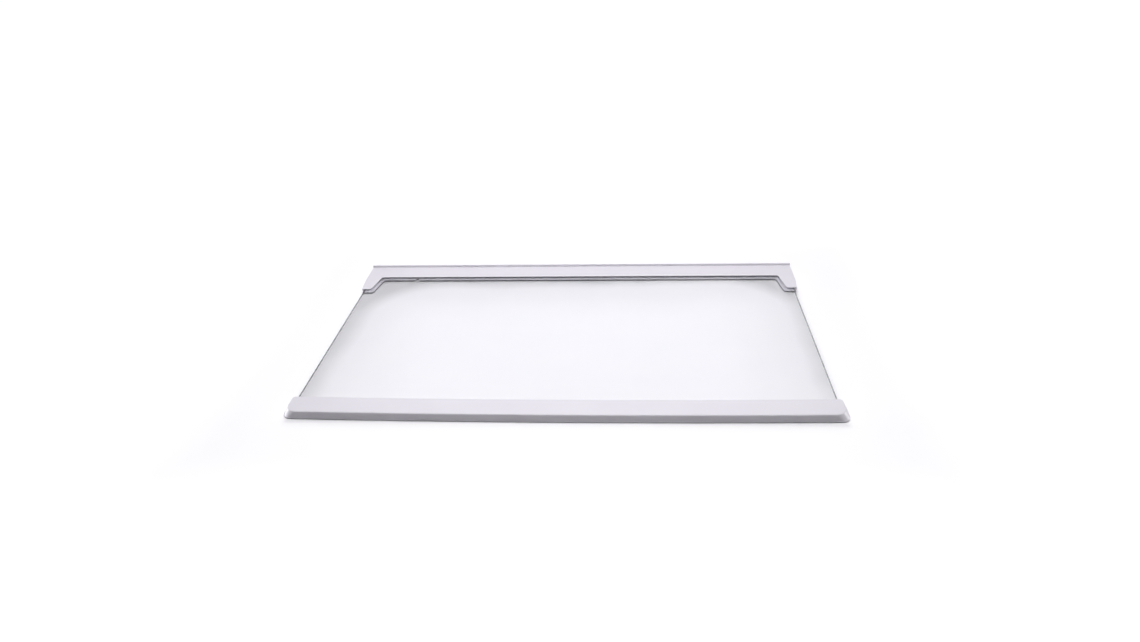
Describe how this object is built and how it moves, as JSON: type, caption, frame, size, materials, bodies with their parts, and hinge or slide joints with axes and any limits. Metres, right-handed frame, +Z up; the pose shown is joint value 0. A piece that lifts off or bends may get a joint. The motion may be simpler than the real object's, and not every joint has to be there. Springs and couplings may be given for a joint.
{
  "type": "refrigerator glass shelf",
  "caption": "Clear toughened glass refrigerator shelf with a white moulded front trim and a rear trim with forward corner ears and a low stop lip.",
  "frame": {"origin": "bottom centre of the whole shelf's box, on the plane of the trims' undersides", "axes": "+X across the shelf to the right seen from the front, +Y towards the rear of the cabinet, +Z up"},
  "size_m": [0.484, 0.303, 0.0097],
  "materials": {
    "clear_glass": "clear, polished",
    "white_plastic": "satin"
  },
  "bodies": {
    "root": {"glass_pane": "clear_glass", "front_trim": "white_plastic", "rear_trim": "white_plastic"}
  },
  "joints": []
}
